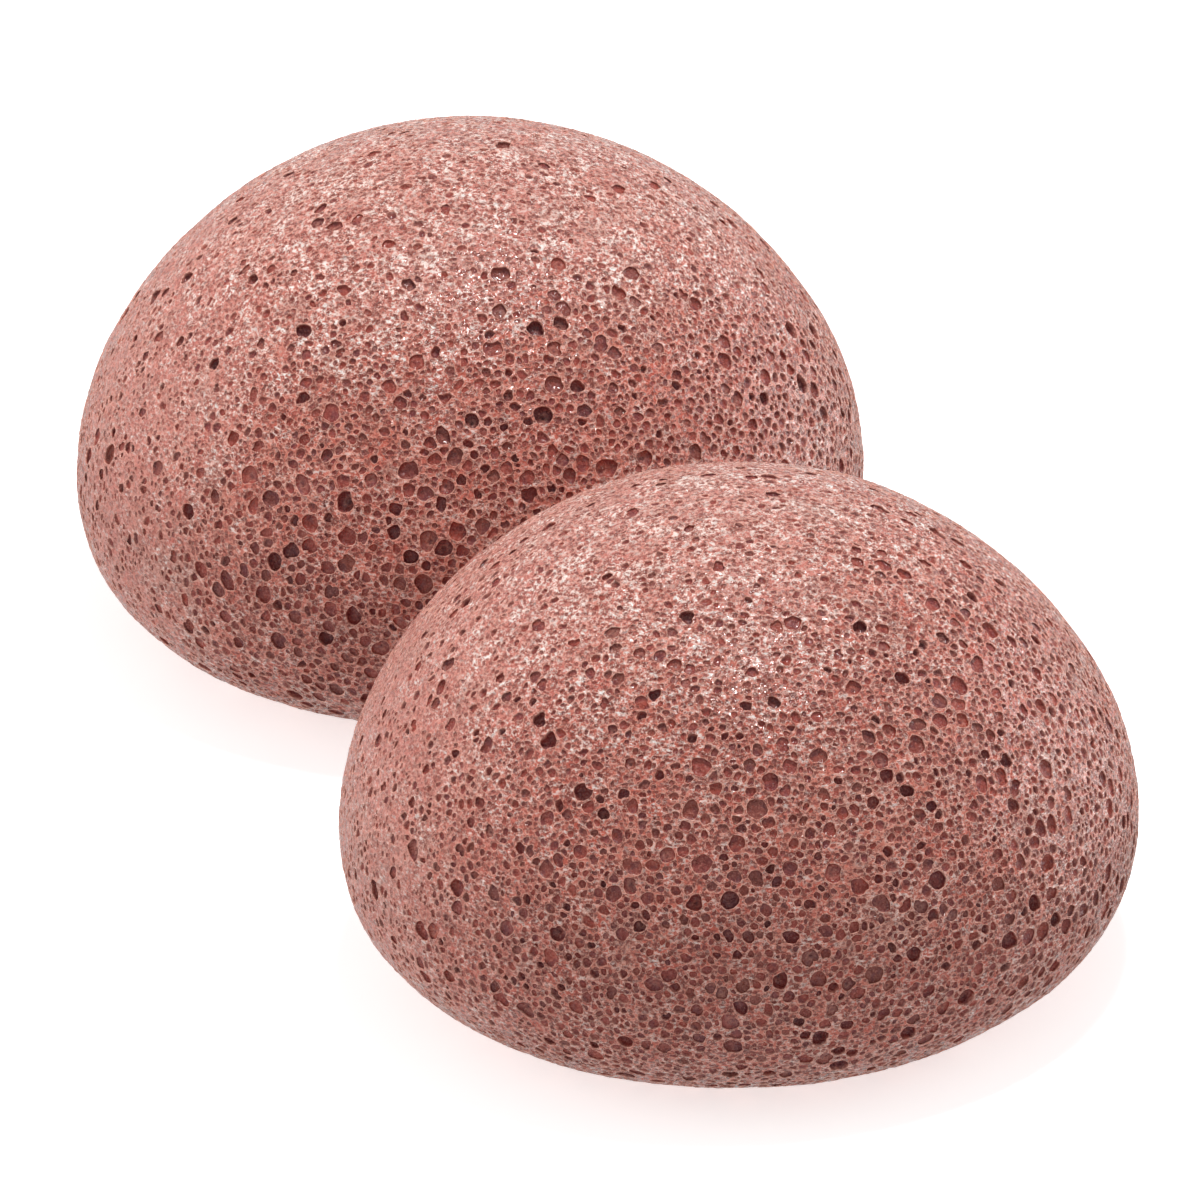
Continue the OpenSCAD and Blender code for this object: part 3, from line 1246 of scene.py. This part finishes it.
@dataclass(frozen=True)
class Cake:
    """One sponge, from its pores laid out flat to its wrapped and dressed piece."""

    sponge: Sponge
    outline: CakeOutline = CakeOutline()
    unevenness: float = 0.35
    unevenness_size: float = 16.0

    def laid_out(self, sheet: Sheet, zone: Zone) -> tuple[dict[str, Array], Array]:
        """Strews one zone, draws its mouths and meshes it.

        Args:
            sheet: The dome's flat layout.
            zone: The zone.

        Returns:
            The points' values by name, and the triangles.
        """
        pores = PoreField(zone, sheet, self.sponge.scatter)
        if zone is Zone.DOME:
            pores.seat_large()
        pores.strew()
        pores.draw_mouths()
        return ZoneMesh(pores).build()

    def flat_mesh(self) -> bpy.types.Mesh:
        """Joins the flat dome and base along the base's edge.

        Returns:
            The mesh, with what the wrapping and the finish read as attributes.
        """
        sheet, shared = Sheet(self.outline), PoreField.EDGE_CORNERS
        (dome, dome_faces), (base, base_faces) = (self.laid_out(sheet, zone) for zone in Zone)
        base_faces = base_faces[:, ::-1]
        chart = np.concatenate([dome.pop("chart")[dome_faces], base.pop("chart")[base_faces]])
        past_edge = base_faces - shared + len(dome["flat"])
        faces = np.concatenate([dome_faces, np.where(base_faces < shared, base_faces, past_edge)])
        values = {name: np.concatenate([dome[name], base[name][shared:]]) for name in dome}
        places = np.pad(values.pop("flat") * MM, ((0, 0), (0, 1)))
        mesh = bpy.data.meshes.new("flat_cake")
        mesh.vertices.add(len(places))
        mesh.vertices.foreach_set("co", places.astype(np.float32).ravel())
        mesh.loops.add(faces.size)
        mesh.loops.foreach_set("vertex_index", faces.astype(np.int32).ravel())
        mesh.polygons.add(len(faces))
        mesh.polygons.foreach_set("loop_start", np.arange(0, faces.size, 3, dtype=np.int32))
        mesh.update(calc_edges=True)
        for name, value in values.items():
            made = mesh.attributes.new(name, "FLOAT", "POINT")
            made.data.foreach_set("value", value.astype(np.float32))
        layer = mesh.uv_layers.new(name=UV_NAME)
        layer.data.foreach_set("uv", chart.astype(np.float32).ravel())
        return mesh

    def build(self, wrapping: Wrapping, finish: bpy.types.Material) -> bpy.types.Object:
        """Makes the piece, hangs it on its sponge's body and hides the imported part that it takes the
        place of.

        Args:
            wrapping: The tree that gives the flat mesh its form.
            finish: The foam's material.

        Returns:
            The finished piece.
        """
        sponge, outline = self.sponge, self.outline
        flat = add_object(sponge.body + "_sheet", self.flat_mesh())
        lengths = (outline.widest_r, outline.edge_r, outline.shoulder_r, outline.crown_drop)
        values = {name: length * MM for name, length in zip(Wrapping.SIZES, lengths)}
        values |= {
            "Unevenness": self.unevenness * MM,
            "Unevenness size": self.unevenness_size * MM,
            "Seed": float(sponge.scatter),
            "Place": [sponge.place[0] * MM, sponge.place[1] * MM, 0.0],
            "Finish": finish,
        }
        mesh = wrapping.apply(flat, values)
        bpy.data.objects.remove(flat)
        mesh.name = sponge.body + "_foam_cake"
        mesh.shade_smooth()
        piece = add_object(sponge.body + "_foam_cake", mesh)
        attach(piece, sponge.body)
        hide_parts(sponge.node)
        return piece


@dataclass(frozen=True)
class Lamp:
    """A soft square light that faces the pair, in metres and watts."""

    name: str
    place: Triple
    size: float
    power: float
    tint: Triple
    glints: bool = True

    def hang(self) -> None:
        """Adds the light to the scene."""
        data = bpy.data.lights.new(self.name, "AREA")
        data.size = self.size
        data.energy = self.power
        data.color = self.tint
        lamp = add_object(self.name, data)
        lamp.location = self.place
        lamp.rotation_euler = (-Vector(self.place)).to_track_quat("-Z", "Y").to_euler()
        lamp.visible_glossy = self.glints


@dataclass(frozen=True)
class PaleFloor:
    """Finish of the studio's floor, which glows a little so that it shows nearly white."""

    shade: float = 0.93
    roughness: float = 0.9
    gloss: float = 0.1
    glow: float = 0.6

    def build(self) -> bpy.types.Material:
        """Makes the material.

        Returns:
            The material, the same all over.
        """
        made = bpy.data.materials.new("pale_floor")
        made.use_nodes = True
        inputs = made.node_tree.nodes["Principled BSDF"].inputs
        inputs["Base Color"].default_value = (self.shade, self.shade, self.shade, 1.0)
        inputs["Roughness"].default_value = self.roughness
        inputs["Specular IOR Level"].default_value = self.gloss
        inputs["Emission Color"].default_value = (1.0, 1.0, 1.0, 1.0)
        inputs["Emission Strength"].default_value = self.glow
        return made


@dataclass(frozen=True)
class Studio:
    """Camera, lights and floor, in metres and degrees."""

    distance: float = 4.0
    elevation: float = 28.2
    azimuth: float = 0.222
    roll: float = 1.629
    aim: tuple[float, float] = (-0.000186, -0.002571)
    aim_height: float = 0.022
    pixels_per_mm: float = 9.969
    frame_pixels: float = 1200.0
    sensor: float = 36.0
    light_above: float = 0.46
    light_below: float = 0.74
    lamps: tuple[Lamp, ...] = (
        Lamp("key", (0.1, 0.1, 1.0), 0.15, 5.7, (1.0, 0.99, 0.985)),
        Lamp("fill", (1.0, 0.5, 0.1), 0.8, 6.0, (0.95, 0.98, 1.0)),
        Lamp("side", (-1.15, 0.3, 0.05), 0.9, 11.5, (1.0, 0.99, 0.98), glints=False),
    )
    floor_half: float = 3.0
    # How far the floor lies below the bases, so that the two don't share a plane
    floor_drop: float = 0.00005

    def camera(self) -> None:
        """Sets the camera at the photograph's angle."""
        turned = Matrix.Rotation(math.radians(self.azimuth), 4, "Z")
        turned @= Matrix.Rotation(math.radians(90 - self.elevation), 4, "X")
        target = Vector((0.0, 0.0, self.aim_height)) + turned @ Vector((*self.aim, 0.0))
        turned @= Matrix.Rotation(math.radians(-self.roll), 4, "Z")
        data = bpy.data.cameras.new("view")
        data.sensor_width = self.sensor
        data.lens = self.sensor * self.distance / MM * self.pixels_per_mm / self.frame_pixels
        camera = add_object("view", data)
        back = Matrix.Translation((0.0, 0.0, self.distance))
        camera.matrix_world = Matrix.Translation(target) @ turned @ back
        bpy.context.scene.camera = camera

    def lights(self) -> None:
        """Sets a pale surround, a small key light nearly overhead and two low side lights."""
        world = bpy.data.worlds.new("pale_surround")
        world.use_nodes = True
        sheet = NodeSheet(world.node_tree)
        way = sheet.value("ShaderNodeTexCoord", output="Generated")
        upward = sheet.value("ShaderNodeSeparateXYZ", {0: way}, output=2)
        seen = sheet.value("ShaderNodeLightPath", output="Is Camera Ray")
        strength = upward.span(-0.6, 0.8, self.light_below, self.light_above)
        shown = sheet.choose(seen, 1.0, strength)
        background = world.node_tree.nodes["Background"]
        world.node_tree.links.new(shown.socket, background.inputs["Strength"])
        background.inputs["Color"].default_value = (1.0, 1.0, 1.0, 1.0)
        bpy.context.scene.world = world
        bpy.context.scene.view_settings.view_transform = "Standard"
        for lamp in self.lamps:
            lamp.hang()

    def floor(self) -> None:
        """Lays the pale floor under the pair."""
        half = self.floor_half
        mesh = bpy.data.meshes.new("floor")
        rounds = ((-half, -half), (half, -half), (half, half), (-half, half))
        corners = [(x, y, -self.floor_drop) for x, y in rounds]
        mesh.from_pydata(corners, [], [(0, 1, 2, 3)])
        mesh.materials.append(PaleFloor().build())
        floor = add_object("floor", mesh)
        floor.visible_diffuse = False
        floor.visible_glossy = False


def main() -> None:
    """Builds the studio and the two sponges."""
    logging.basicConfig(level=logging.INFO, format="%(name)s: %(message)s")
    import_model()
    studio = Studio()
    studio.camera()
    studio.lights()
    studio.floor()
    wrapping = Wrapping()
    finish = DampFoam().build()
    for sponge in Sponge:
        piece = Cake(sponge).build(wrapping, finish)
        mesh = piece.data
        LOG.info("%s: %d points, %d faces", piece.name, len(mesh.vertices), len(mesh.polygons))


if __name__ == "__main__":
    main()
